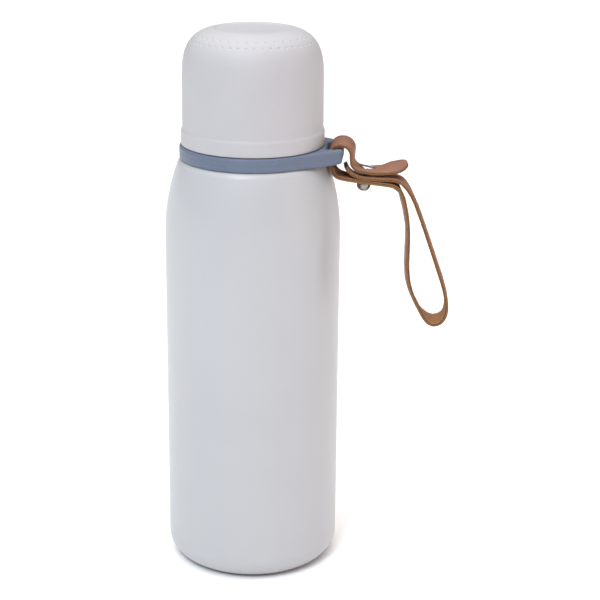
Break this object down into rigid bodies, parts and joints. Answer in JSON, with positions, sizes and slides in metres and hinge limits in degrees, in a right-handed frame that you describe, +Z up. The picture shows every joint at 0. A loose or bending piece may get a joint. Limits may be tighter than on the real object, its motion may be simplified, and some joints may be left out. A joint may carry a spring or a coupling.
{
  "type": "insulated water bottle",
  "caption": "Double-walled steel water bottle with a domed drinking-cup lid, push-button stopper, swivel collar and looped leather wrist strap closed by a snap.",
  "frame": {"origin": "centre of the ring that the bottle stands on", "axes": "+Z up along the bottle's axis, +X out through the collar's tab and the strap"},
  "size_m": [0.1173, 0.072, 0.2262],
  "materials": {
    "white_paint": "satin powder coat",
    "steel": "brushed",
    "copper_foil": "bright",
    "grey_plastic": "matte",
    "pale_plastic": "matte",
    "white_plastic": "satin",
    "collar_silicone": "matte",
    "seal_silicone": "matte",
    "foam": "matte foam",
    "strap_leather": "smooth vegetable-tanned",
    "snap_nickel": "polished nickel"
  },
  "bodies": {
    "bottle": {"outer_shell": "white_paint", "base_cap": "steel", "vacuum_seal": "steel", "inner_vessel": "steel", "getter": "steel", "radiation_shield": "copper_foil", "neck_ring": "pale_plastic", "neck_gasket": "seal_silicone"},
    "collar": {"collar_ring": "collar_silicone"},
    "strap": {"strap_loop": "strap_leather", "snap_stud": "snap_nickel", "snap_post": "snap_nickel"},
    "flap": {"strap_flap": "strap_leather", "snap_cap": "snap_nickel", "snap_socket": "snap_nickel"},
    "stopper_seal": {"stopper_gasket": "seal_silicone"},
    "stopper": {"stopper_body": "pale_plastic", "stopper_insulation": "foam", "stopper_top": "grey_plastic", "valve_guide": "pale_plastic", "valve_spring": "steel"},
    "valve": {"valve_button": "white_plastic", "valve_stem": "pale_plastic", "valve_seal": "seal_silicone"},
    "cup_seal": {"cup_seal_ring": "seal_silicone"},
    "cup": {"cup_shell": "white_plastic", "cup_liner": "pale_plastic"}
  },
  "joints": [
    {"name": "collar_swivel", "type": "hinge", "parent": "bottle", "child": "collar", "pos_m": [0, 0, 0.1764], "axis": [0, 0, 1], "continuous": true},
    {"name": "strap_swing", "type": "hinge", "parent": "collar", "child": "strap", "pos_m": [0.0358, 0, 0.1764], "axis": [0, -1, 0], "range_deg": [0, 75]},
    {"name": "flap_open", "type": "hinge", "parent": "strap", "child": "flap", "pos_m": [0.04142, 0, 0.1728], "axis": [0, -1, 0], "range_deg": [0, 60]},
    {"name": "stopper_lift", "type": "slide", "parent": "bottle", "child": "stopper_seal", "axis": [0, 0, 1], "range_m": [0, 0.032]},
    {"name": "stopper_turn", "type": "hinge", "parent": "stopper_seal", "child": "stopper", "pos_m": [0, 0, 0.19], "axis": [0, 0, 1], "range_deg": [0, 1441]},
    {"name": "button_press", "type": "slide", "parent": "stopper", "child": "valve", "axis": [0, 0, -1], "range_m": [0, 0.003], "stiffness_N_per_m": 300, "springref_m": -0.004, "deforming": ["valve_spring"]},
    {"name": "cup_lift", "type": "slide", "parent": "stopper", "child": "cup_seal", "axis": [0, 0, 1], "range_m": [0, 0.048]},
    {"name": "cup_turn", "type": "hinge", "parent": "cup_seal", "child": "cup", "pos_m": [0, 0, 0.19], "axis": [0, 0, 1], "range_deg": [0, 2161]}
  ],
  "couplings": [
    {"joint": "stopper_turn", "follows": "stopper_lift", "rad_per_m": 785.4},
    {"joint": "cup_turn", "follows": "cup_lift", "rad_per_m": 785.4}
  ]
}
